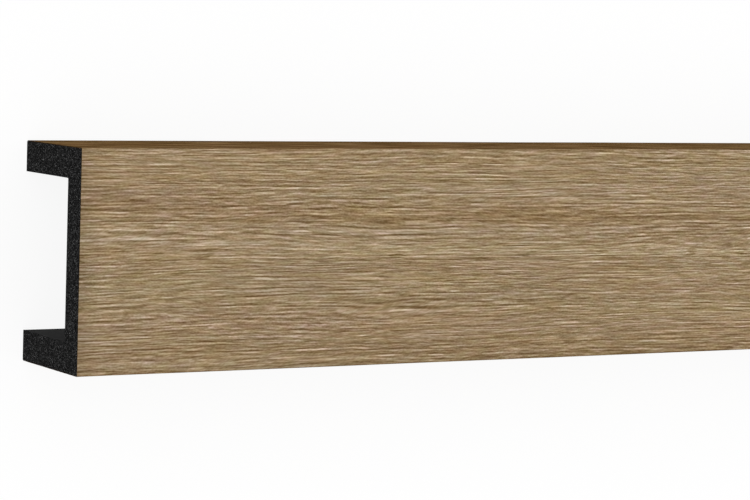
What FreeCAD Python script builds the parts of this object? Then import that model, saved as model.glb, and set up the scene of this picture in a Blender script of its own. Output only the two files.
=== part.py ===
import FreeCAD, Part
import os
import Sketcher

# Panel moulding: a channel of black foamed polymer, wrapped on its three outer sides in an oak-print
# foil. It lies on its two back edges, the ones that are glued to the wall, with its face up.
# Frame in millimetres: +X along the length, +Y across the face, +Z out of the face. The origin is the
# middle of the back plane.

# Driving dimensions: name, millimetres, what is measured
DIMENSIONS = [
    ("stock_length", 2000.0, "length in which the moulding is sold"),
    ("face_width", 50.0, "overall width across the face, foil included"),
    ("profile_depth", 30.0, "overall depth from the back plane to the face, foil included"),
    ("web_thickness", 6.8, "foam behind the face"),
    ("flange_thickness", 6.8, "foam of each side wall"),
    ("arris_radius", 0.2, "rounding of the foam's two front edges, under the foil"),
    ("channel_radius", 0.3, "rounding in the two inside corners of the channel"),
    ("foil_thickness", 0.2, "printed and embossed wrapping foil"),
    ("foil_setback", 0.3, "gap between the foil's trimmed edges and the back plane"),
]

# Formulas that the two pieces share, so that the foil lies on the foam whatever the sizes
FACE = "Sizes.profile_depth"
HALF_FACE_WIDTH = "Sizes.face_width / 2"
FOAM_FRONT = "Sizes.profile_depth - Sizes.foil_thickness"
HALF_FOAM_WIDTH = "Sizes.face_width / 2 - Sizes.foil_thickness"
CHANNEL_CEILING = "Sizes.profile_depth - Sizes.foil_thickness - Sizes.web_thickness"
HALF_CHANNEL_WIDTH = "Sizes.face_width / 2 - Sizes.foil_thickness - Sizes.flange_thickness"
FOIL_BEND_RADIUS = "Sizes.arris_radius + Sizes.foil_thickness"
BACK_PLANE = "0"

LINE_START = 1
LINE_END = 2
SKETCH_ORIGIN = (-1, 1)
SKETCH_LEVEL_AXIS = -1
TOUCHING = 1e-6

doc = FreeCAD.newDocument("panel_moulding")


def make_sheet():
    """The spreadsheet of driving dimensions, one named cell for each."""
    sheet = doc.addObject("Spreadsheet::Sheet", "Sizes")
    for row, (alias, size, meaning) in enumerate(DIMENSIONS, start=1):
        sheet.set(f"A{row}", meaning)
        sheet.set(f"B{row}", str(size))
        sheet.setAlias(f"B{row}", alias)
    doc.recompute()
    return sheet


sizes = make_sheet()


def millimetres(formula):
    """What a formula comes to with the sheet's present values."""
    return float(sizes.evalExpression(formula))


def channel_sketch(body, outer, inner, back):
    """Draws a channel's section on the body's YZ plane and ties each of its eight sides to a formula.

    outer and inner are (half width, front) of the outside and of the hollow, and back is the level of
    the two edges beside the mouth.
    """
    sketch = body.newObject("Sketcher::SketchObject", body.Name + "_section")
    plane = next(feature for feature in body.Origin.OriginFeatures if feature.Role == "YZ_Plane")
    sketch.AttachmentSupport = [(plane, "")]
    sketch.MapMode = "FlatFace"

    # Sides in order round the section: name, direction, which side of the middle, distance formula
    sides = [
        ("outer_left", "upright", -1, outer[0]),
        ("front", "level", 1, outer[1]),
        ("outer_right", "upright", 1, outer[0]),
        ("right_edge", "level", 1, back),
        ("inner_right", "upright", 1, inner[0]),
        ("inner_front", "level", 1, inner[1]),
        ("inner_left", "upright", -1, inner[0]),
        ("left_edge", "level", 1, back),
    ]
    places = [sign * millimetres(formula) for _, _, sign, formula in sides]
    corners = []
    for i, (_, direction, _, _) in enumerate(sides):
        before = places[i - 1]
        across, up = (places[i], before) if direction == "upright" else (before, places[i])
        corners.append(FreeCAD.Vector(across, up, 0))

    for i in range(len(sides)):
        following = (i + 1) % len(sides)
        sketch.addGeometry(Part.LineSegment(corners[i], corners[following]))
    for i, (name, direction, sign, formula) in enumerate(sides):
        following = (i + 1) % len(sides)
        sketch.addConstraint(Sketcher.Constraint("Coincident", i, LINE_END, following, LINE_START))
        straight = "Vertical" if direction == "upright" else "Horizontal"
        sketch.addConstraint(Sketcher.Constraint(straight, i))
        if formula == BACK_PLANE:
            sketch.addConstraint(Sketcher.Constraint("PointOnObject", i, LINE_START, SKETCH_LEVEL_AXIS))
            continue
        kind = "DistanceX" if direction == "upright" else "DistanceY"
        ends = [SKETCH_ORIGIN, (i, LINE_START)]
        first, second = ends if sign > 0 else reversed(ends)
        dimension = Sketcher.Constraint(kind, *first, *second, abs(places[i]))
        sketch.renameConstraint(sketch.addConstraint(dimension), name)
        sketch.setExpression(f"Constraints.{name}", formula)
    return sketch


def lengthwise_edges(feature, half_width, level):
    """Names of the two straight edges along X at that distance from the middle and that level."""
    across = millimetres(half_width)
    up = millimetres(level)
    names = []
    for number, edge in enumerate(feature.Shape.Edges, start=1):
        ends = [vertex.Point for vertex in edge.Vertexes]
        runs_along = abs(ends[0].x - ends[-1].x) > TOUCHING
        in_place = all(abs(abs(end.y) - across) < TOUCHING for end in ends)
        at_level = all(abs(end.z - up) < TOUCHING for end in ends)
        if runs_along and in_place and at_level:
            names.append(f"Edge{number}")
    return names


def round_corners(body, name, feature, corner, radius):
    """Fillets the pair of lengthwise corners at (half width, level)."""
    fillet = body.newObject("PartDesign::Fillet", name)
    fillet.Base = (feature, lengthwise_edges(feature, *corner))
    fillet.setExpression("Radius", radius)
    doc.recompute()
    return fillet


def channel_body(label, outer, inner, back, outer_radius, inner_radius):
    """A channel as long as the stock: its section, padded both ways from the middle, then rounded."""
    body = doc.addObject("PartDesign::Body", label)
    body.Label = label
    sketch = channel_sketch(body, outer, inner, back)
    pad = body.newObject("PartDesign::Pad", label + "_length")
    pad.Profile = sketch
    pad.SideType = "Symmetric"
    pad.setExpression("Length", "Sizes.stock_length")
    doc.recompute()
    rounded_outside = round_corners(body, label + "_arrises", pad, outer, outer_radius)
    round_corners(body, label + "_hollow", rounded_outside, inner, inner_radius)
    return body


def check(bodies):
    """Stops before anything is written if a feature failed or a piece isn't one sound solid."""
    for item in doc.Objects:
        if {"Invalid", "Error"} & set(item.State):
            raise RuntimeError(f"{item.Label} failed: {item.State}")
    for body in bodies:
        section = next(item for item in body.Group if item.TypeId == "Sketcher::SketchObject")
        if not section.FullyConstrained:
            raise RuntimeError(f"the section of {body.Label} has a side that no size holds")
        shape = body.Shape
        if shape.isNull() or not shape.isValid() or len(shape.Solids) != 1:
            raise RuntimeError(f"{body.Label} isn't one valid solid")


def write(bodies):
    """Writes each piece to a file of its own name."""
    os.makedirs("parts", exist_ok=True)
    for body in bodies:
        body.Shape.exportStep(f"parts/{body.Label}.step")
        box = body.Shape.BoundBox
        print(f"{body.Label}: {box.XLength:.1f} x {box.YLength:.1f} x {box.ZLength:.1f} mm,", end=" ")
        print(f"{body.Shape.Volume / 1000:.2f} cm3")


foam_core = channel_body(
    "foam_core",
    outer=(HALF_FOAM_WIDTH, FOAM_FRONT),
    inner=(HALF_CHANNEL_WIDTH, CHANNEL_CEILING),
    back=BACK_PLANE,
    outer_radius="Sizes.arris_radius",
    inner_radius="Sizes.channel_radius",
)
oak_foil = channel_body(
    "oak_foil",
    outer=(HALF_FACE_WIDTH, FACE),
    inner=(HALF_FOAM_WIDTH, FOAM_FRONT),
    back="Sizes.foil_setback",
    outer_radius=FOIL_BEND_RADIUS,
    inner_radius="Sizes.arris_radius",
)
pieces = [foam_core, oak_foil]
check(pieces)
write(pieces)
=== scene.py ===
# %% [markdown]
# # A panel moulding wrapped in an oak print
# The real moulding is a channel of black foamed polymer. A thin foil, printed and embossed like brushed
# oak, is wrapped over its face and both outer sides, and the two back edges are glued to a wall. This
# lesson loads its solids as a fixed frame, sets up a studio, then makes the two visible pieces: the foil,
# which is a flat strip bent round the core by a rule, and the foam core with its sawn ends.

# %% Load the solids as a fixed frame
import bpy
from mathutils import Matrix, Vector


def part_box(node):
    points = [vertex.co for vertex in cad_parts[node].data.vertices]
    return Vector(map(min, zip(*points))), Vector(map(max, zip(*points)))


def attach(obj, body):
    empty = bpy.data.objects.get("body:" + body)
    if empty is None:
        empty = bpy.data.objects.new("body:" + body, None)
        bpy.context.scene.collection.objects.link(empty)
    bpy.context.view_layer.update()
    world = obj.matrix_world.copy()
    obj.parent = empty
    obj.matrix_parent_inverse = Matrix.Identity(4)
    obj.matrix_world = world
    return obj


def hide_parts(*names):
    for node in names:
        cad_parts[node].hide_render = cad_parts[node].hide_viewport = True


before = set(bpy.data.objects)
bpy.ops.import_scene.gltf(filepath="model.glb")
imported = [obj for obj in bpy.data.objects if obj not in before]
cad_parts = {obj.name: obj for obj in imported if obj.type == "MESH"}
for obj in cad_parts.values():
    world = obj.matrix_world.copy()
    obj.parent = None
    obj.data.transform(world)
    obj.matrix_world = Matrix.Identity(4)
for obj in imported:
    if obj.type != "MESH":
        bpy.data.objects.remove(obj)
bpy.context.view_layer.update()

import copy
import math
import random

import bpy
from mathutils import Color, Vector, geometry

print("solids loaded:", sorted(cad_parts))

# %% [markdown]
# ## Sizes
# Every size of the section can be read from the solids, so none is typed in here and nothing has to be
# fitted. The boxes of the two pieces give the outer sizes. The corners of their meshes give the channel's
# width and height and the radius of each rounded corner, because a rounding starts where a flat side ends.

# %% Read the section from the frame
TOUCHING = 1e-5

foil_low, foil_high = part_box("oak_foil")
foam_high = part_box("foam_core")[1]
stock_length = foil_high.x - foil_low.x
face_width = foil_high.y - foil_low.y
profile_depth = foil_high.z
foil_edge_level = foil_low.z
foil_thickness = foil_high.z - foam_high.z


def farthest_at_level(points, level):
    """How far from the middle the flat side at this level reaches before its rounding starts."""
    return max(abs(point.y) for point in points if abs(point.z - level) < TOUCHING)


foil_points = [vertex.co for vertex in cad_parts["oak_foil"].data.vertices]
foam_points = [vertex.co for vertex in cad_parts["foam_core"].data.vertices]
channel_half_width = min(abs(point.y) for point in foam_points if point.z < TOUCHING)
channel_ceiling = max(point.z for point in foam_points if abs(point.y) < channel_half_width)
channel_radius = channel_half_width - min(
    abs(point.y) for point in foam_points if abs(point.z - channel_ceiling) < TOUCHING
)
foil_bend_radius = foil_high.y - farthest_at_level(foil_points, profile_depth)
foam_arris_radius = foam_high.y - farthest_at_level(foam_points, foam_high.z)

print(f"moulding {stock_length:.3f} x {face_width:.4f} x {profile_depth:.4f} m")
print(f"channel {2 * channel_half_width:.4f} x {channel_ceiling:.4f} m, corner {channel_radius:.5f} m")
print(f"foil {foil_thickness:.5f} m thick, bent to a radius of {foil_bend_radius:.5f} m")

# %% [markdown]
# ## Camera
# The moulding lies on its back edges, so the camera looks down on its face. It stands a little before the
# near end, which shows the sawn section, and the long lens keeps the face's edges nearly parallel. The
# three turns are applied in the order roll, dip, yaw, which is why the rotation mode isn't the usual one.

# %% Camera above the near end
CAMERA_BEFORE_END = 0.25626
CAMERA_ACROSS = 0.05722
CAMERA_HEIGHT = 0.59702
CAMERA_YAW = math.radians(30.223)
CAMERA_DIP = math.radians(4.840)
CAMERA_ROLL = math.radians(1.782)
CAMERA_LENS_MM = 137.48

camera = bpy.data.objects.new("camera", bpy.data.cameras.new("camera"))
camera.data.lens = CAMERA_LENS_MM
camera.location = (-stock_length / 2 - CAMERA_BEFORE_END, CAMERA_ACROSS, CAMERA_HEIGHT)
camera.rotation_mode = "ZXY"
camera.rotation_euler = (-CAMERA_DIP, -CAMERA_YAW, CAMERA_ROLL)
bpy.context.collection.objects.link(camera)
bpy.context.scene.camera = camera
bpy.context.scene.view_settings.view_transform = "Standard"
print("camera at", [round(place, 4) for place in camera.location])

# %% [markdown]
# ## A helper for node trees
# Materials and geometry trees are both graphs of nodes, and building one in a script repeats the same
# three acts: add a node, set its options, fill its inputs with numbers or with the outputs of other nodes.
# One short function does all three, a few more are for sums and ranges, and they serve every tree below.

# %% Add a node and fill its inputs
def add(tree, kind, inputs=None, **options):
    """Adds a node with these options. Each input gets a value, or a link from another node's output."""
    node = tree.nodes.new(kind)
    for name, value in options.items():
        setattr(node, name, value)
    for key, value in (inputs or {}).items():
        if isinstance(value, bpy.types.NodeSocket):
            tree.links.new(value, node.inputs[key])
        else:
            node.inputs[key].default_value = value
    return node


def calc(tree, operation, *terms):
    """The output of one Math node."""
    return add(tree, "ShaderNodeMath", dict(enumerate(terms)), operation=operation).outputs[0]


def vector_calc(tree, operation, *terms, **named):
    """The output of one Vector Math node. Colours are vectors here."""
    inputs = dict(enumerate(terms)) | named
    return add(tree, "ShaderNodeVectorMath", inputs, operation=operation).outputs[0]


def ranged(tree, value, low, high, to_low=0.0, to_high=1.0, rise="LINEAR"):
    """A value brought from one range to another, and held at the ends of it."""
    sizes = {"Value": value, "From Min": low, "From Max": high, "To Min": to_low, "To Max": to_high}
    return add(tree, "ShaderNodeMapRange", sizes, interpolation_type=rise).outputs["Result"]


def total(tree, values):
    """The sum of several outputs."""
    result = values[0]
    for value in values[1:]:
        result = calc(tree, "ADD", result, value)
    return result


def new_material(name):
    """A material with an empty node tree and its output node."""
    material = bpy.data.materials.new(name)
    material.use_nodes = True
    material.node_tree.nodes.clear()
    return material, material.node_tree, material.node_tree.nodes.new("ShaderNodeOutputMaterial")


print("node helpers ready")

# %% [markdown]
# ## Studio
# The floor and the background are white to the camera, and a shadow stays on the floor. A floor that white
# would throw too much light on the moulding's sides, so it is written as two surfaces: the one that the
# camera and reflections see, which is mostly glow, and a greyer one for the light that bounces off it.
# Light Path tells them apart. A broad overhead light and a dim surround add up to the level at which a
# colour renders as written.

# %% White floor that keeps a shadow
FLOOR_REACH = 60.0
FLOOR_GLOW = 0.9
FLOOR_BOUNCE = 0.34


def grey(level):
    """A grey of this level as a shader takes it. 1 is white."""
    return (level, level, level, 1)


def seen_directly(tree):
    """1 for rays from the camera, from reflections and through glass, and 0 for light that bounces."""
    path = add(tree, "ShaderNodeLightPath")
    seen = calc(tree, "MAXIMUM", path.outputs["Is Camera Ray"], path.outputs["Is Glossy Ray"])
    return calc(tree, "MAXIMUM", seen, path.outputs["Is Transmission Ray"])


def white_floor_material():
    """To the camera a glow and a shaded grey add up to white. Light that bounces meets a plain grey."""
    material, tree, output = new_material("white_floor")
    lit = add(tree, "ShaderNodeBsdfDiffuse", {"Color": grey(FLOOR_BOUNCE)})
    shaded = add(tree, "ShaderNodeBsdfDiffuse", {"Color": grey(1 - FLOOR_GLOW)})
    glow = add(tree, "ShaderNodeEmission", {"Color": grey(1), "Strength": FLOOR_GLOW})
    white = add(tree, "ShaderNodeAddShader", {0: shaded.outputs[0], 1: glow.outputs[0]})
    ways = {0: seen_directly(tree), 1: lit.outputs[0], 2: white.outputs[0]}
    tree.links.new(add(tree, "ShaderNodeMixShader", ways).outputs[0], output.inputs["Surface"])
    return material


corners = [(-FLOOR_REACH, -FLOOR_REACH, 0), (FLOOR_REACH, -FLOOR_REACH, 0)]
corners += [(FLOOR_REACH, FLOOR_REACH, 0), (-FLOOR_REACH, FLOOR_REACH, 0)]
floor_mesh = bpy.data.meshes.new("floor")
floor_mesh.from_pydata(corners, [], [(0, 1, 2, 3)])
floor_mesh.materials.append(white_floor_material())
floor = bpy.data.objects.new("floor", floor_mesh)
bpy.context.collection.objects.link(floor)
print(f"floor {2 * FLOOR_REACH:.0f} m across")

# %% Overhead light and white surround
OVERHEAD_STRENGTH = 2.7
OVERHEAD_ANGLE = math.radians(120)
OVERHEAD_TILT = (math.radians(-6), math.radians(-6), 0)
SURROUND_LIGHT = 0.15

overhead = bpy.data.objects.new("overhead_light", bpy.data.lights.new("overhead_light", "SUN"))
overhead.data.energy = OVERHEAD_STRENGTH
overhead.data.angle = OVERHEAD_ANGLE
overhead.rotation_euler = OVERHEAD_TILT
bpy.context.collection.objects.link(overhead)

surround = bpy.data.worlds.new("white_surround")
surround.use_nodes = True
surround_tree = surround.node_tree
surround_tree.nodes.clear()
surround_level = ranged(surround_tree, seen_directly(surround_tree), 0, 1, SURROUND_LIGHT, 1)
sky = add(surround_tree, "ShaderNodeBackground", {"Color": grey(1), "Strength": surround_level})
add(surround_tree, "ShaderNodeOutputWorld", {"Surface": sky.outputs[0]})
bpy.context.scene.world = surround
print(f"overhead light {OVERHEAD_STRENGTH} over {math.degrees(OVERHEAD_ANGLE):.0f} degrees")

# %% [markdown]
# ## The foil as a wrapped strip
# On the wrapping line a flat strip of foil runs over the core, and rollers press it down the two sides.
# The same rule shapes it here. Geometry Nodes make a flat grid, and each of its columns is laid on the
# face, round an arris or down a side, as far as it lies from the strip's middle line. Extruding a drawn
# section would give the same shape, but this way each point also knows its place on the flat strip, which
# the print needs later.

# %% Start a geometry tree with named inputs
def geometry_tree(name, inputs):
    """A geometry tree with one geometry output and these inputs, and the sockets that give the inputs."""
    tree = bpy.data.node_groups.new(name, "GeometryNodeTree")
    tree.interface.new_socket("Geometry", in_out="OUTPUT", socket_type="NodeSocketGeometry")
    for title, kind in inputs.items():
        tree.interface.new_socket(title, in_out="INPUT", socket_type="NodeSocket" + kind)
    given = {socket.name: socket for socket in tree.nodes.new("NodeGroupInput").outputs if socket.name}
    return tree, given


def finish_tree(tree, shape, finishes):
    """Ends a tree: realizes its instances, then gives each (selection, material) in turn."""
    shape = add(tree, "GeometryNodeRealizeInstances", {"Geometry": shape}).outputs[0]
    for selection, material in finishes:
        inputs = {"Geometry": shape, "Selection": selection, "Material": material}
        shape = add(tree, "GeometryNodeSetMaterial", inputs).outputs[0]
    add(tree, "NodeGroupOutput", {"Geometry": shape})


def run_tree(tree, start, values):
    """Runs the tree on a new object that starts from this mesh, and keeps the result as a plain mesh."""
    piece = bpy.data.objects.new(start.name, start)
    modifier = piece.modifiers.new(tree.name, "NODES")
    modifier.node_group = tree
    for item in tree.interface.items_tree:
        if item.in_out == "INPUT" and item.name in values:
            modifier[item.identifier] = values[item.name]
    bpy.context.collection.objects.link(piece)
    evaluated = piece.evaluated_get(bpy.context.evaluated_depsgraph_get())
    made = bpy.data.meshes.new_from_object(evaluated)
    piece.modifiers.remove(modifier)
    piece.data = made
    made.name = piece.name
    return piece


print("geometry tree helpers ready")

# %% Lay the columns of a flat strip on the section
FOIL_INPUTS = {
    "Length": "Float", "Face Width": "Float", "Profile Depth": "Float", "Edge Level": "Float",
    "Bend Radius": "Float", "Foil Thickness": "Float", "Rows": "Int", "Half Face Columns": "Int",
    "Bend Columns": "Int", "Side Columns": "Int", "Emboss Depth": "Float", "Emboss Length": "Float",
    "Emboss Width": "Float", "Seed": "Float", "Print": "Material", "Cut Edge": "Material",
}


class Strip:
    """A flat grid whose columns know how far they lie on the face, round an arris and down a side."""

    def __init__(self, tree, given):
        self.tree = tree

        # Columns are counted from the middle line to one trimmed edge
        bend_from = given["Half Face Columns"]
        bend_to = calc(tree, "ADD", bend_from, given["Bend Columns"])
        last_column = calc(tree, "ADD", bend_to, given["Side Columns"])
        grid = add(tree, "GeometryNodeMeshGrid", {
            "Size X": given["Length"],
            "Size Y": calc(tree, "MULTIPLY", last_column, 2),
            "Vertices X": calc(tree, "ADD", given["Rows"], 1),
            "Vertices Y": calc(tree, "MULTIPLY_ADD", last_column, 2, 1),
        })
        self.mesh = grid.outputs["Mesh"]
        place = add(tree, "ShaderNodeSeparateXYZ", {0: add(tree, "GeometryNodeInputPosition").outputs[0]})
        self.along, column = place.outputs["X"], place.outputs["Y"]
        self.side = calc(tree, "SIGN", column)
        from_middle = calc(tree, "ABSOLUTE", column)

        # How far each column has gone along the face, round the arris and down the side
        self.radius = given["Bend Radius"]
        half_flat = calc(tree, "SUBTRACT", calc(tree, "MULTIPLY", given["Face Width"], 0.5), self.radius)
        self.bend_centre = calc(tree, "SUBTRACT", given["Profile Depth"], self.radius)
        bend_arc = calc(tree, "MULTIPLY", self.radius, math.pi / 2)
        side_drop = calc(tree, "SUBTRACT", self.bend_centre, given["Edge Level"])
        self.on_face = ranged(tree, from_middle, 0, bend_from, 0, half_flat)
        round_bend = ranged(tree, from_middle, bend_from, bend_to, 0, bend_arc)
        self.down_side = ranged(tree, from_middle, bend_to, last_column, 0, side_drop)
        self.turn = calc(tree, "DIVIDE", round_bend, self.radius)
        on_strip = total(tree, [self.on_face, round_bend, self.down_side])
        self.across = calc(tree, "MULTIPLY", self.side, on_strip)

    def wrapped(self, depth):
        """Place on the wrapped strip, this far under its outer surface."""
        tree = self.tree
        reach = calc(tree, "SUBTRACT", self.radius, depth)
        out = calc(tree, "MULTIPLY_ADD", reach, calc(tree, "SINE", self.turn), self.on_face)
        up = calc(tree, "MULTIPLY_ADD", reach, calc(tree, "COSINE", self.turn), self.bend_centre)
        height = calc(tree, "SUBTRACT", up, self.down_side)
        parts = {"X": self.along, "Y": calc(tree, "MULTIPLY", self.side, out), "Z": height}
        return add(tree, "ShaderNodeCombineXYZ", parts).outputs[0]


print("foil tree takes", len(FOIL_INPUTS), "inputs")

# %% Press brushed hollows into the foil
EMBOSS_FROM, EMBOSS_FULL = 0.45, 0.75


def brushed_hollow(strip, given):
    """How deep the embossing roller has pressed each point, in long shallow hollows."""
    tree = strip.tree
    place = add(tree, "ShaderNodeCombineXYZ", {
        "X": calc(tree, "DIVIDE", strip.along, given["Emboss Length"]),
        "Y": calc(tree, "DIVIDE", strip.across, given["Emboss Width"]),
        "Z": given["Seed"],
    })
    noise = add(tree, "ShaderNodeTexNoise", {"Vector": place.outputs[0], "Scale": 1.0, "Detail": 1.0})
    return ranged(tree, noise.outputs["Fac"], EMBOSS_FROM, EMBOSS_FULL, 0, given["Emboss Depth"])


print(f"hollows where the noise is over {EMBOSS_FROM}")

# %% The rule that wraps the strip
WELD = 1e-6


def foil_tree():
    """The strip bent to its wrapped form, with a lining under it that closes it to a sheet."""
    tree, given = geometry_tree("wrap_the_foil", FOIL_INPUTS)
    strip = Strip(tree, given)

    # Before it is bent, the strip keeps its flat place for the print, and the place of its underside
    flat_place = add(tree, "ShaderNodeCombineXYZ", {"X": strip.along, "Y": strip.across}).outputs[0]
    flat = add(tree, "GeometryNodeStoreNamedAttribute", {
        "Geometry": strip.mesh, "Name": "flat_strip", "Value": flat_place,
    }, data_type="FLOAT2", domain="CORNER")
    kept = add(tree, "GeometryNodeCaptureAttribute", {"Geometry": flat.outputs[0]})
    kept.capture_items.new("VECTOR", "Underside")
    tree.links.new(strip.wrapped(given["Foil Thickness"]), kept.inputs["Underside"])
    sheet = add(tree, "GeometryNodeSetPosition", {
        "Geometry": kept.outputs["Geometry"], "Position": strip.wrapped(brushed_hollow(strip, given)),
    }).outputs[0]

    # The glued underside and the trimmed edges close the strip
    extruded = add(tree, "GeometryNodeExtrudeMesh", {
        "Mesh": sheet, "Offset Scale": 0.0, "Individual": False,
    })
    lining = add(tree, "GeometryNodeSetPosition", {
        "Geometry": extruded.outputs["Mesh"], "Selection": extruded.outputs["Top"],
        "Position": kept.outputs["Underside"],
    })
    marked = add(tree, "GeometryNodeStoreNamedAttribute", {
        "Geometry": lining.outputs[0], "Name": "cut_edge", "Value": True,
    }, data_type="BOOLEAN", domain="FACE")
    turned = add(tree, "GeometryNodeFlipFaces", {0: marked.outputs[0]})
    joined = add(tree, "GeometryNodeJoinGeometry", {0: sheet})
    tree.links.new(turned.outputs[0], joined.inputs[0])
    closed = add(tree, "GeometryNodeMergeByDistance", {"Geometry": joined.outputs[0], "Distance": WELD})

    # Only the outer surface is printed
    mark = add(tree, "GeometryNodeInputNamedAttribute", {"Name": "cut_edge"}, data_type="BOOLEAN")
    is_cut = mark.outputs[0]
    is_print = add(tree, "FunctionNodeBooleanMath", {0: is_cut}, operation="NOT").outputs[0]
    smooth = add(tree, "GeometryNodeSetShadeSmooth", {
        "Geometry": closed.outputs[0], "Shade Smooth": is_print,
    })
    finish_tree(tree, smooth.outputs[0], [(is_print, given["Print"]), (is_cut, given["Cut Edge"])])
    return tree


wrap_the_foil = foil_tree()
print("foil tree has", len(wrap_the_foil.nodes), "nodes")

# %% [markdown]
# ## The oak print
# The foil carries a picture of brushed oak, which is seen from close by, so its grain is drawn at its real
# size. An image could be laid on the strip, but a picture of two metres of fibres would be huge, and noise
# draws them for any length. Each layer is a noise stretched along the strip. Layers of several lengths add
# up to one number, the tone, and a colour ramp turns it into the oak's browns. Reading the flat strip
# instead of the place in space makes the grain run on round the arrises, as it does on the real foil.

# %% Colours of the oak print
FULL_STEPS = 255


def linear(red, green, blue):
    """A colour written in the usual 0 to 255 steps, as the linear values that a shader takes."""
    colour = Color([value / FULL_STEPS for value in (red, green, blue)])
    return [*colour.from_srgb_to_scene_linear(), 1.0]


def colour_ramp(tree, value, tones):
    """Turns a value into a colour. Tones gives a colour for each place from 0 to 1."""
    ramp = add(tree, "ShaderNodeValToRGB", {"Fac": value})
    stops = ramp.color_ramp.elements
    for place in list(tones)[1:-1]:
        stops.new(place)
    for stop, colour in zip(stops, tones.values()):
        stop.color = colour
    return ramp.outputs["Color"]


OAK_TONES = {
    0.00: linear(79, 56, 29),
    0.25: linear(114, 91, 61),
    0.50: linear(152, 130, 99),
    0.75: linear(191, 169, 142),
    1.00: linear(230, 209, 187),
}
print("oak tones:", len(OAK_TONES))

# %% Noise layers on the flat strip
# A plain noise spreads by NOISE_SPREAD about one half, and two seeds read it SEED_STEP spots apart
MILLIMETRES = 1000
NOISE_SPREAD = 0.159
SEED_STEP = 57.3
SMOOTH = "SMOOTHSTEP"


class OakGrain:
    """Draws stretched noises on the flat strip, in millimetres along and across it."""

    def __init__(self, tree):
        self.tree = tree
        flat = add(tree, "ShaderNodeUVMap", uv_map="flat_strip")
        place = add(tree, "ShaderNodeSeparateXYZ", {0: flat.outputs["UV"]})
        self.along = calc(tree, "MULTIPLY", place.outputs["X"], MILLIMETRES)
        self.across = calc(tree, "MULTIPLY", place.outputs["Y"], MILLIMETRES)
        self.seed = 0

    def layer(self, length, width, spread):
        """A noise about zero with spots about this long and wide. Spread is its standard deviation."""
        self.seed += 1
        place = add(self.tree, "ShaderNodeCombineXYZ", {
            "X": calc(self.tree, "MULTIPLY_ADD", self.along, 1 / length, SEED_STEP * self.seed),
            "Y": calc(self.tree, "MULTIPLY_ADD", self.across, 1 / width, SEED_STEP * self.seed),
        })
        inputs = {"Vector": place.outputs[0], "Scale": 1.0, "Detail": 0.0}
        noise = add(self.tree, "ShaderNodeTexNoise", inputs, noise_dimensions="2D")
        share = spread / NOISE_SPREAD
        return calc(self.tree, "MULTIPLY_ADD", noise.outputs["Fac"], share, -share / 2)

    def layers(self, rows):
        """The sum of several layers, each given as (length, width, spread)."""
        return total(self.tree, [self.layer(*row) for row in rows])

    def bend(self, across, along):
        """Moves everything drawn from here on by these amounts."""
        self.across = calc(self.tree, "ADD", self.across, across)
        self.along = calc(self.tree, "ADD", self.along, along)

    def beside(self, shift, seed):
        """The same strip read this far across, with seeds from this one on, so that readings can agree."""
        other = copy.copy(self)
        other.across = calc(self.tree, "ADD", self.across, shift)
        other.seed = seed
        return other

    def near_line(self, centre, half_width):
        """1 on a line along the grain, falling smoothly to 0 at this distance from it."""
        offset = calc(self.tree, "ABSOLUTE", calc(self.tree, "SUBTRACT", self.across, centre))
        return ranged(self.tree, offset, 0.0, half_width, 1.0, 0.0, SMOOTH)


print("noise layers ready")

# %% Bend the grain
WAVES = [(140, 14, 0.55), (30, 6, 0.1)]
STAGGER = (60, 8, 2.5)


def bend_the_grain(grain):
    """Waves across the strip, and fibres that start unevenly along it."""
    grain.bend(grain.layers(WAVES), grain.layer(*STAGGER))


print("grain waves by about", WAVES[0][2], "mm")

# %% [markdown]
# ## Fibres, pores and bands
# Brushing wears the soft wood away. It leaves hard fibres with crisp edges, filled pores that show as
# short pale dashes, and broad bands where the wood itself was browner. One noise with many octaves would
# give soft clouds. So each kind of mark gets a rule of its own: fibres are noises pushed towards two
# tones, dashes lie in uneven rows, and bands follow lines that drift across the face.

# %% Fibres with crisp edges
FIBRES = [
    (1.5, 0.28, 0.030),
    (3, 0.28, 0.043),
    (6, 0.30, 0.056),
    (12, 0.33, 0.057),
    (40, 0.36, 0.046),
    (300, 0.38, 0.041),
    (9, 0.65, 0.044),
    (300, 0.75, 0.035),
]
FIBRE_EDGE = 0.7


def fibres(grain):
    """The sum of all fibre layers, each pushed towards pale or dark."""
    crisp = []
    for length, width, lift in FIBRES:
        layer = grain.layer(length, width, 1.0)
        crisp.append(ranged(grain.tree, layer, -FIBRE_EDGE, FIBRE_EDGE, -lift, lift, SMOOTH))
    return total(grain.tree, crisp)


print("fibre layers:", len(FIBRES))

# %% Pale dashes of filled pores
PORE_ROW, PORE_LENGTH = 0.75, 9
PORE_DRIFT = (120, 2.5, 0.3)
PORE_EDGE, PORE_FULL = 0.3, 0.9
ROW_MIDDLE, ROW_CORE, ROW_RIM = 0.5, 0.08, 0.34
ROW_STEP = 31.7


def pores(grain):
    """1 in the short pale dashes that filled pores leave, and 0 between them. They lie in uneven rows."""
    tree = grain.tree
    place = calc(tree, "DIVIDE", calc(tree, "ADD", grain.across, grain.layer(*PORE_DRIFT)), PORE_ROW)
    off_line = calc(tree, "ABSOLUTE", calc(tree, "SUBTRACT", calc(tree, "FRACT", place), ROW_MIDDLE))
    on_line = ranged(tree, off_line, ROW_CORE, ROW_RIM, 1.0, 0.0, SMOOTH)
    row = grain.beside(0.0, grain.seed)
    row.across = calc(tree, "MULTIPLY", calc(tree, "FLOOR", place), ROW_STEP)
    in_dash = ranged(tree, row.layer(PORE_LENGTH, 1.0, 1.0), PORE_EDGE, PORE_FULL, rise=SMOOTH)
    return calc(tree, "MULTIPLY", on_line, in_dash)


print("pores about", PORE_LENGTH / 2, "mm long")

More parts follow.
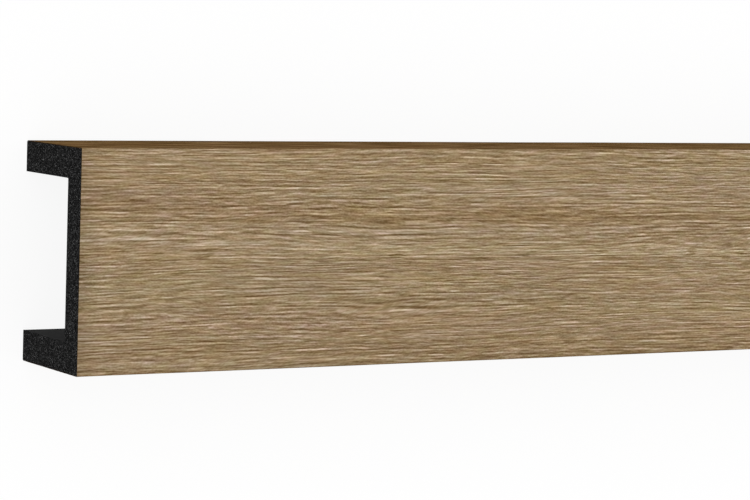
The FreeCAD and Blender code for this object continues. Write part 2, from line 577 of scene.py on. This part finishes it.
# %% Brown bands and dark smudges
# A band is (line across the face, half width, depth), and a depth below 0 makes it pale
BROWN_BANDS = [(12.3, 4.0, 1.0), (-20.0, 3.5, 0.9), (4.8, 2.2, -1.0)]
BROWN_PATCHES, BROAD_BROWN = (70, 5, 0.2), (300, 7, 0.08)
BAND_DRIFT, DRIFT_LENGTH = 4.5, 1000
SMUDGES, SMUDGE_ROW = (6, 1.1, 1.0), (1.0, 4.5)
SMUDGE_EDGE, SMUDGE_FULL = 1.0, 1.8


def brownness(grain):
    """About 1 in the brown bands, below 0 in the pale one. All drift across the face along the strip."""
    tree = grain.tree
    turn = calc(tree, "MULTIPLY", grain.along, 2 * math.pi / DRIFT_LENGTH)
    drift = calc(tree, "MULTIPLY", calc(tree, "SINE", turn), BAND_DRIFT)
    drifting = grain.beside(drift, grain.seed)
    bands = []
    for centre, half_width, depth in BROWN_BANDS:
        bands.append(calc(tree, "MULTIPLY", drifting.near_line(centre, half_width), depth))
    uneven = calc(tree, "ADD", grain.layer(*BROWN_PATCHES), 1.0)
    return calc(tree, "MULTIPLY_ADD", total(tree, bands), uneven, grain.layer(*BROAD_BROWN))


def smudges(grain):
    """1 in the small dark smudges near the face's middle line, and 0 between them."""
    spots = ranged(grain.tree, grain.layer(*SMUDGES), SMUDGE_EDGE, SMUDGE_FULL, rise=SMOOTH)
    return calc(grain.tree, "MULTIPLY", spots, grain.near_line(*SMUDGE_ROW))


print("bands:", len(BROWN_BANDS), "drifting by", BAND_DRIFT, "mm")

# %% Tone of the print
MIDDLE_TONE = 0.482
FIBRE_SEED, PORE_SEED = 20, 40
SHADE_SHIFT, FIBRE_SHADE, PORE_SHADE = -0.40, 0.34, 0.09
PALE_SHARE, PORE_LIFT = 0.2, 0.17
SPECKS = (0.6, 0.3, 0.026)
SIDE_FLECKS = (12, 2.5, 0.09)
BROWN_DEPTH, SMUDGE_DEPTH = 0.065, 0.16


def print_tone(grain, brown, smudge, on_side):
    """0 in the darkest lines and 1 in the palest pores."""
    tree = grain.tree
    brushed = fibres(grain.beside(0.0, FIBRE_SEED))
    # Copies of the fibres and pores read SHADE_SHIFT across are taken away: painted shade beside each pale
    # one.
    shade = fibres(grain.beside(SHADE_SHIFT, FIBRE_SEED))
    brushed = calc(tree, "MULTIPLY_ADD", shade, -FIBRE_SHADE, brushed)
    paler = calc(tree, "MULTIPLY_ADD", brushed, PALE_SHARE, 1.0)
    tone = calc(tree, "MULTIPLY_ADD", brushed, paler, MIDDLE_TONE)
    tone = calc(tree, "MULTIPLY_ADD", pores(grain.beside(0.0, PORE_SEED)), PORE_LIFT, tone)
    tone = calc(tree, "MULTIPLY_ADD", pores(grain.beside(SHADE_SHIFT, PORE_SEED)), -PORE_SHADE, tone)
    tone = calc(tree, "ADD", tone, grain.layer(*SPECKS))
    tone = calc(tree, "MULTIPLY_ADD", grain.layer(*SIDE_FLECKS), on_side, tone)
    tone = calc(tree, "MULTIPLY_ADD", brown, -BROWN_DEPTH, tone)
    return calc(tree, "MULTIPLY_ADD", smudge, -SMUDGE_DEPTH, tone)


print("middle tone", MIDDLE_TONE)

# %% Tint of the print
WARM_COLOUR = (0.48, 0.28, -1.0)
WARMTH = [(300, 6, 0.009), (30, 4, 0.015), (5, 1.2, 0.022)]
BROWN_WARMTH, BROWN_GREEN = 0.02, -0.012
GREEN_COLOUR = (-0.7, 1.0, -0.27)
GREENNESS = [(300, 6, 0.005), (60, 6, 0.005), (3, 1.2, 0.012)]
SMUDGE_GREEN = 0.008
# The sides are darkened and browned as painted shade, as if the light fell on the face more than on them.
SIDE_SHADE_TINT = (0.82, 0.66, 0.44)
UNTINTED = (1, 1, 1)


def print_tint(grain, brown, smudge, on_side):
    """What the tone's colour is multiplied by: warmer, greener, and on the two sides darker and browner,
    as painted shade.
    """
    tree = grain.tree
    warmth = calc(tree, "MULTIPLY_ADD", brown, BROWN_WARMTH, grain.layers(WARMTH))
    greenness = calc(tree, "MULTIPLY_ADD", smudge, SMUDGE_GREEN, grain.layers(GREENNESS))
    greenness = calc(tree, "MULTIPLY_ADD", brown, BROWN_GREEN, greenness)
    tint = vector_calc(tree, "SCALE", WARM_COLOUR, Scale=warmth)
    tint = vector_calc(tree, "ADD", tint, vector_calc(tree, "SCALE", GREEN_COLOUR, Scale=greenness))
    tint = vector_calc(tree, "ADD", tint, UNTINTED)
    side_shade_share = vector_calc(tree, "SCALE", [part - 1 for part in SIDE_SHADE_TINT], Scale=on_side)
    return vector_calc(tree, "MULTIPLY", tint, vector_calc(tree, "ADD", side_shade_share, UNTINTED))


print("the sides' tint", SIDE_SHADE_TINT)

# %% The oak print's material
ARRIS_BLEND = 0.3
PRINT_BUMP, PRINT_RELIEF = 0.3, 0.00005
DARK_PRINT, PALE_PRINT = 0.2, 0.8
DULL, LESS_DULL = 0.9, 0.75


def oak_print_material():
    """The print's tone and tint as one colour, a little less dull and higher where it is pale."""
    material, tree, output = new_material("oak_print")
    grain = OakGrain(tree)
    from_middle = calc(tree, "ABSOLUTE", grain.across)
    half_face = face_width / 2 * MILLIMETRES
    on_side = ranged(tree, from_middle, half_face - ARRIS_BLEND, half_face + ARRIS_BLEND)
    bend_the_grain(grain)
    brown = brownness(grain)
    smudge = smudges(grain)
    tone = print_tone(grain, brown, smudge, on_side)
    tint = print_tint(grain, brown, smudge, on_side)
    bump = add(tree, "ShaderNodeBump", {"Height": tone, "Strength": PRINT_BUMP, "Distance": PRINT_RELIEF})
    shader = add(tree, "ShaderNodeBsdfPrincipled", {
        "Base Color": vector_calc(tree, "MULTIPLY", colour_ramp(tree, tone, OAK_TONES), tint),
        "Roughness": ranged(tree, tone, DARK_PRINT, PALE_PRINT, DULL, LESS_DULL),
        "Specular IOR Level": 0.0,
        "Normal": bump.outputs[0],
    })
    tree.links.new(shader.outputs[0], output.inputs["Surface"])
    return material


oak_print = oak_print_material()
print("oak print has", len(oak_print.node_tree.nodes), "nodes")

# %% [markdown]
# ## The cut foil
# The foil is trimmed along both back edges, and its ends are sawn with the core. There the film shows as a
# thin dark brown line without any print. One brown would do from far away, but a faint noise keeps the
# line from looking drawn. It reads the place in space, because a cut has no grain to follow. The finished
# tree then gets its sizes and both materials, and the strip is wrapped.

# %% The foil's cut edge
CUT_FOIL_GRAIN = 0.0006
CUT_FOIL_TONES = {0.0: linear(48, 37, 27), 1.0: linear(70, 56, 42)}
WISP_DARK, WISP_PALE = 0.3, 0.7
CUT_FOIL_ROUGHNESS = (0.6, 0.85)


def cut_foil_material():
    """Dark brown wisps without any shine."""
    material, tree, output = new_material("cut_foil_edge")
    place = add(tree, "ShaderNodeTexCoord").outputs["Object"]
    inputs = {"Vector": place, "Scale": 1 / CUT_FOIL_GRAIN, "Detail": 2.0}
    wisps = add(tree, "ShaderNodeTexNoise", inputs).outputs["Fac"]
    shader = add(tree, "ShaderNodeBsdfPrincipled", {
        "Base Color": colour_ramp(tree, ranged(tree, wisps, WISP_DARK, WISP_PALE), CUT_FOIL_TONES),
        "Roughness": ranged(tree, wisps, WISP_DARK, WISP_PALE, *CUT_FOIL_ROUGHNESS),
        "Specular IOR Level": 0.0,
    })
    tree.links.new(shader.outputs[0], output.inputs["Surface"])
    return material


cut_foil_edge = cut_foil_material()
print("cut edge has", len(cut_foil_edge.node_tree.nodes), "nodes")

# %% Wrap the foil
foil = run_tree(wrap_the_foil, bpy.data.meshes.new("wrapped_oak_foil"), {
    "Length": stock_length,
    "Face Width": face_width,
    "Profile Depth": profile_depth,
    "Edge Level": foil_edge_level,
    "Bend Radius": foil_bend_radius,
    "Foil Thickness": foil_thickness,
    "Rows": 250,
    "Half Face Columns": 50,
    "Bend Columns": 6,
    "Side Columns": 24,
    "Emboss Depth": 0.00004,
    "Emboss Length": 0.045,
    "Emboss Width": 0.0016,
    "Seed": 3.0,
    "Print": oak_print,
    "Cut Edge": cut_foil_edge,
})
print("foil faces:", len(foil.data.polygons), "box:", [round(size, 5) for size in foil.dimensions])

# %% [markdown]
# ## The foam core
# The core is extruded as one bar and sawn to length. Its long sides keep the smooth skin of the die, but
# the saw opens the foam's cells, and the ends look grainy. The bar is an outline carried along the length.
# Each end is filled with scattered points joined into triangles, which gives the saw something to tear: a
# geometry tree then sinks those points into cells of uneven depth and leaves the outline where it is.

# %% Outline of the foam section
SKIN_STEP = 0.0034
ARC_STEPS = 4


def straight(start, end):
    """Points from start up to, but not including, end."""
    steps = max(1, round((Vector(end) - Vector(start)).length / SKIN_STEP))
    return [Vector(start).lerp(Vector(end), step / steps) for step in range(steps)]


def arc(centre, radius, first_degrees, last_degrees):
    """Points of a rounded corner, without its last one."""
    span = last_degrees - first_degrees
    angles = [math.radians(first_degrees + span * step / ARC_STEPS) for step in range(ARC_STEPS)]
    return [Vector(centre) + radius * Vector((math.cos(a), math.sin(a))) for a in angles]


def foam_outline():
    """The section across (Y) and up (Z), anticlockwise, from the right back edge's outer corner."""
    outside, front = foam_high.y, foam_high.z
    hollow, ceiling = channel_half_width, channel_ceiling
    arris, inner = foam_arris_radius, channel_radius
    points = straight((outside, 0), (outside, front - arris))
    points += arc((outside - arris, front - arris), arris, 0, 90)
    points += straight((outside - arris, front), (arris - outside, front))
    points += arc((arris - outside, front - arris), arris, 90, 180)
    points += straight((-outside, front - arris), (-outside, 0))
    points += straight((-outside, 0), (-hollow, 0))
    points += straight((-hollow, 0), (-hollow, ceiling - inner))
    points += arc((inner - hollow, ceiling - inner), inner, 180, 90)
    points += straight((inner - hollow, ceiling), (hollow - inner, ceiling))
    points += arc((hollow - inner, ceiling - inner), inner, 90, 0)
    points += straight((hollow, ceiling - inner), (hollow, 0))
    points += straight((hollow, 0), (outside, 0))
    return points


outline = foam_outline()
print("outline has", len(outline), "points")

# %% Scatter points over a sawn end and join them
GRAIN_STEP = 0.0003
SAW_SEED = 11
SQUARE_FROM, SQUARE_TO = 0.15, 0.85
TRIANGLES_INSIDE = 1
SAME_POINT = 1e-7


def in_foam(y, z, margin):
    """Whether a place is inside the section, at least margin from its sides."""
    inside = abs(y) < foam_high.y - margin and margin < z < foam_high.z - margin
    in_hollow = abs(y) < channel_half_width + margin and z < channel_ceiling + margin
    return inside and not in_hollow


def scattered_points():
    """One point in each square of a fine grid, at a place of its own."""
    chance = random.Random(SAW_SEED)
    points = []
    for row in range(int(foam_high.z / GRAIN_STEP)):
        for column in range(int(-foam_high.y / GRAIN_STEP), int(foam_high.y / GRAIN_STEP)):
            y = (column + chance.uniform(SQUARE_FROM, SQUARE_TO)) * GRAIN_STEP
            z = (row + chance.uniform(SQUARE_FROM, SQUARE_TO)) * GRAIN_STEP
            if in_foam(y, z, GRAIN_STEP / 2):
                points.append(Vector((y, z)))
    return points


sawn_points = outline + scattered_points()
ring = list(range(len(outline)))
filled = geometry.delaunay_2d_cdt(sawn_points, [], [ring], TRIANGLES_INSIDE, SAME_POINT)
end_points, end_faces = filled[0], filled[2]
print("sawn end:", len(end_points), "points,", len(end_faces), "triangles")

# %% Join two sawn ends by the extruded skin
SKIN_ROWS = 20


def foam_bar_mesh():
    """Both ends and the skin between them, with sawn = 1 on the points that the saw can tear."""
    count = len(outline)
    near, far = -stock_length / 2, stock_length / 2
    points = [(near, y, z) for y, z in end_points]
    points += [(far, y, z) for y, z in end_points]
    sawn = [float(index >= count) for index in range(len(end_points))] * 2
    faces = [tuple(reversed(face)) for face in end_faces]
    faces += [tuple(index + len(end_points) for index in face) for face in end_faces]
    rings = [list(range(count))]
    for row in range(1, SKIN_ROWS):
        x = near + (far - near) * row / SKIN_ROWS
        rings.append([len(points) + index for index in range(count)])
        points += [(x, y, z) for y, z in outline]
        sawn += [0.0] * count
    rings.append([len(end_points) + index for index in range(count)])
    for this, after in zip(rings, rings[1:]):
        faces += zip(this, this[1:] + this[:1], after[1:] + after[:1], after)
    mesh = bpy.data.meshes.new("sawn_foam_core")
    mesh.from_pydata(points, [], faces)
    mesh.attributes.new("sawn", "FLOAT", "POINT").data.foreach_set("value", sawn)
    return mesh


foam_bar = foam_bar_mesh()
print("foam bar has", len(foam_bar.polygons), "faces")

# %% The rule that tears the sawn ends
FOAM_INPUTS = {
    "Bar": "Geometry", "Cell Size": "Float", "Tear Depth": "Float", "Seed": "Float",
    "Skin": "Material", "Sawn Face": "Material",
}
BOWL_RIM = 0.8
END_SLOPE = 0.01


def sawing_tree():
    """Sinks the sawn points into bowl-shaped cells, and gives the skin and the ends their finishes."""
    tree, given = geometry_tree("tear_the_sawn_ends", FOAM_INPUTS)
    position = add(tree, "GeometryNodeInputPosition").outputs[0]
    place = add(tree, "ShaderNodeSeparateXYZ", {0: position})
    sawn = add(tree, "GeometryNodeInputNamedAttribute", {"Name": "sawn"}, data_type="FLOAT").outputs[0]
    cell_scale = calc(tree, "DIVIDE", 1, given["Cell Size"])
    moved = vector_calc(tree, "ADD", position, given["Seed"])
    cells = add(tree, "ShaderNodeTexVoronoi", {"Vector": moved, "Scale": cell_scale})
    shares = add(tree, "ShaderNodeSeparateXYZ", {0: cells.outputs["Color"]})
    bowl = ranged(tree, cells.outputs["Distance"], 0.0, BOWL_RIM, 1, 0)
    depth = calc(tree, "MULTIPLY", calc(tree, "MULTIPLY", bowl, shares.outputs[0]), given["Tear Depth"])
    inward = calc(tree, "MULTIPLY", calc(tree, "SIGN", place.outputs["X"]), -1)
    sink = calc(tree, "MULTIPLY", calc(tree, "MULTIPLY", depth, sawn), inward)
    torn = add(tree, "GeometryNodeSetPosition", {
        "Geometry": given["Bar"], "Offset": add(tree, "ShaderNodeCombineXYZ", {"X": sink}).outputs[0],
    })
    normal = add(tree, "ShaderNodeSeparateXYZ", {0: add(tree, "GeometryNodeInputNormal").outputs[0]})
    faces_end = calc(tree, "GREATER_THAN", calc(tree, "ABSOLUTE", normal.outputs["X"]), END_SLOPE)
    finish_tree(tree, torn.outputs[0], [(True, given["Skin"]), (faces_end, given["Sawn Face"])])
    return tree


tear_the_sawn_ends = sawing_tree()
print("sawing tree has", len(tear_the_sawn_ends.nodes), "nodes")

# %% [markdown]
# ## The foam's two finishes
# Both finishes are the same black polymer. Where it slid through the die it has a dull skin with faint
# lines along its length, and where it was sawn the torn cell walls catch the light as grey specks. Finer
# points could tear those specks too, but they would be far too many. So the tree makes only the cells, the
# specks are painted highlights in the sawn face's colour, and each material lets one noise drive its
# colour, its roughness and a slight bump.

# %% The skin of the die
DIE_LINE_SCALE = (4, 1100, 1100)
LINE_DARK, LINE_PALE = 0.25, 0.75
SKIN_TONES = {0.0: linear(30, 30, 30), 1.0: linear(43, 43, 43)}
SKIN_ROUGHNESS, SKIN_SHEEN = (0.6, 0.8), 0.013
SKIN_BUMP, SKIN_RELIEF = 0.2, 0.00005


def foam_skin_material():
    """Dull black with faint lines along the length."""
    material, tree, output = new_material("foam_skin")
    place = add(tree, "ShaderNodeTexCoord").outputs["Object"]
    stretched = add(tree, "ShaderNodeMapping", {"Vector": place, "Scale": DIE_LINE_SCALE}).outputs[0]
    inputs = {"Vector": stretched, "Scale": 1.0, "Detail": 2.0}
    lines = add(tree, "ShaderNodeTexNoise", inputs).outputs["Fac"]
    bump = add(tree, "ShaderNodeBump", {"Height": lines, "Strength": SKIN_BUMP, "Distance": SKIN_RELIEF})
    shader = add(tree, "ShaderNodeBsdfPrincipled", {
        "Base Color": colour_ramp(tree, ranged(tree, lines, LINE_DARK, LINE_PALE), SKIN_TONES),
        "Roughness": ranged(tree, lines, LINE_DARK, LINE_PALE, *SKIN_ROUGHNESS),
        "Specular IOR Level": SKIN_SHEEN,
        "Normal": bump.outputs[0],
    })
    tree.links.new(shader.outputs[0], output.inputs["Surface"])
    return material


foam_skin = foam_skin_material()
print("foam skin has", len(foam_skin.node_tree.nodes), "nodes")

# %% The sawn face
TORN_GLINT = 0.00027
SPECK_DARK, SPECK_PALE = 0.3, 0.8
# From 0.65 up these greys are painted highlights of torn cell walls catching the light.
SAWN_GREYS_AND_GLINTS = {0.0: 11, 0.4: 18, 0.65: 59, 1.0: 190}
SAWN_TONES = {place: linear(level, level, level) for place, level in SAWN_GREYS_AND_GLINTS.items()}
SAWN_ROUGHNESS, SAWN_SHEEN = (0.95, 0.75), 0.02
SAWN_BUMP, SAWN_RELIEF = 0.5, 0.0002


def sawn_foam_material():
    """Black with fine grey specks: painted highlights where torn cell walls would catch the light."""
    material, tree, output = new_material("sawn_foam")
    place = add(tree, "ShaderNodeTexCoord").outputs["Object"]
    inputs = {"Vector": place, "Scale": 1 / TORN_GLINT, "Detail": 1.0, "Roughness": 0.6, "Distortion": 1.5}
    specks = add(tree, "ShaderNodeTexNoise", inputs).outputs["Fac"]
    bump = add(tree, "ShaderNodeBump", {"Height": specks, "Strength": SAWN_BUMP, "Distance": SAWN_RELIEF})
    shader = add(tree, "ShaderNodeBsdfPrincipled", {
        "Base Color": colour_ramp(tree, ranged(tree, specks, SPECK_DARK, SPECK_PALE), SAWN_TONES),
        "Roughness": ranged(tree, specks, SPECK_DARK, SPECK_PALE, *SAWN_ROUGHNESS),
        "Specular IOR Level": SAWN_SHEEN,
        "Normal": bump.outputs[0],
    })
    tree.links.new(shader.outputs[0], output.inputs["Surface"])
    return material


sawn_foam = sawn_foam_material()
print("sawn foam has", len(sawn_foam.node_tree.nodes), "nodes")

# %% Saw the core
core = run_tree(tear_the_sawn_ends, foam_bar, {
    "Cell Size": 0.0007,
    "Tear Depth": 0.00035,
    "Seed": 5.0,
    "Skin": foam_skin,
    "Sawn Face": sawn_foam,
})
print("core faces:", len(core.data.polygons), "box:", [round(size, 5) for size in core.dimensions])

# %% [markdown]
# ## Hand over
# Each piece rides on the moulding's one body and hides the plain solid that it stands for.

# %% Ride and replace
for piece, node, finish in [(foil, "oak_foil", "oak_foil"), (core, "foam_core", "black_foam")]:
    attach(piece, "root")
    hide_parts(node)
